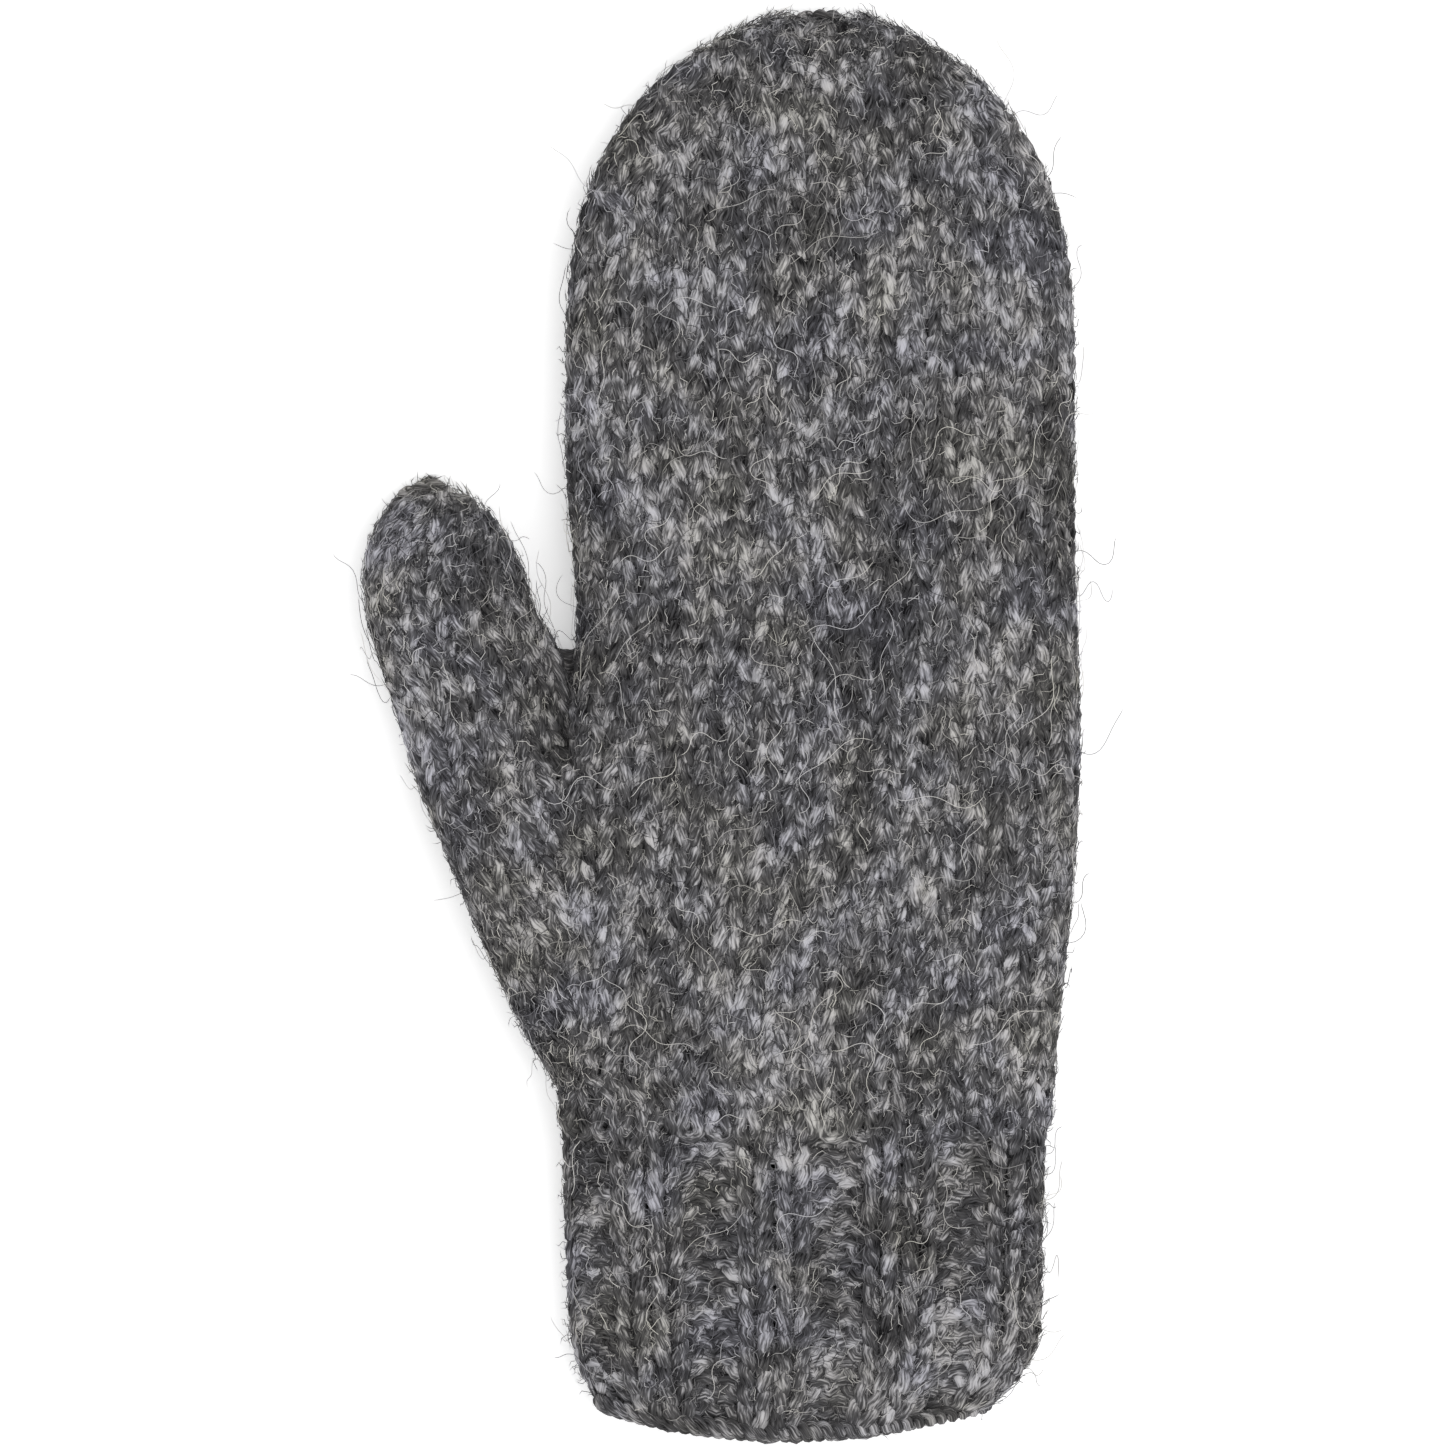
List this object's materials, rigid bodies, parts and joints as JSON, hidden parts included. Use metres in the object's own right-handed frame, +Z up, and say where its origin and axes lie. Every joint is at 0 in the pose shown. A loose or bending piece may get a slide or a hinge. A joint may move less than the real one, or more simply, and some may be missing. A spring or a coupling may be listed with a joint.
{
  "type": "knitted mitten",
  "caption": "Hand-knitted wool mitten with a ribbed cuff, a gusset thumb and a rounded crown, lying flat with its palm side up.",
  "frame": {"origin": "middle of the box on the plane the mitten rests on", "axes": "+Y from the cuff to the fingertips, +X away from the thumb across the hand, +Z up out of the palm side"},
  "size_m": [0.1356, 0.2702, 0.024],
  "materials": {
    "plain_knit": "charcoal marl wool in plain knitting, matte and brushed to a soft halo",
    "rib_knit": "charcoal marl wool in two-by-two ribbing, matte",
    "loose_yarn": "plied charcoal marl wool yarn, matte with loose fibres"
  },
  "bodies": {
    "hand": {"hand_tube": "plain_knit", "thumb_gusset": "plain_knit", "wrist_rounds": "plain_knit", "knuckle_rounds": "plain_knit", "thumb_root_rounds": "plain_knit", "thumb_crotch_web": "loose_yarn", "thumb_join_tail": "loose_yarn"},
    "cuff": {"cast_on_edge": "rib_knit", "cuff_ribbing": "rib_knit", "cast_on_tail": "loose_yarn"},
    "fingers": {"finger_tube": "plain_knit", "finger_bend_rounds": "plain_knit"},
    "fingertips": {"crown": "plain_knit", "crown_gather": "loose_yarn", "crown_tail": "loose_yarn"},
    "thumb": {"thumb_tube": "plain_knit", "thumb_bend_rounds": "plain_knit"},
    "thumb_tip": {"thumb_crown": "plain_knit", "thumb_gather": "loose_yarn", "thumb_tip_tail": "loose_yarn"}
  },
  "joints": [
    {"name": "wrist_bend", "type": "hinge", "parent": "hand", "child": "cuff", "pos_m": [0.0152, -0.0731, 0.0102], "axis": [1, 0, 0], "range_deg": [-40, 40], "deforming": ["wrist_rounds"]},
    {"name": "finger_fold", "type": "hinge", "parent": "hand", "child": "fingers", "pos_m": [0.0186, 0.0249, 0.0116], "axis": [1, 0, 0], "range_deg": [-20, 80], "deforming": ["knuckle_rounds"]},
    {"name": "fingertip_curl", "type": "hinge", "parent": "fingers", "child": "fingertips", "pos_m": [0.0186, 0.0729, 0.0105], "axis": [1, 0, 0], "range_deg": [-15, 70], "deforming": ["finger_bend_rounds"]},
    {"name": "thumb_spread", "type": "hinge", "parent": "hand", "child": "thumb", "pos_m": [-0.0467, 0.0027, 0.0095], "axis": [0, 0, 1], "range_deg": [-6, 30], "deforming": ["thumb_root_rounds", "thumb_crotch_web"]},
    {"name": "thumb_bend", "type": "hinge", "parent": "thumb", "child": "thumb_tip", "pos_m": [-0.0521, 0.023, 0.0095], "axis": [0.9659, 0.2588, 0], "range_deg": [-15, 55], "deforming": ["thumb_bend_rounds"]}
  ]
}
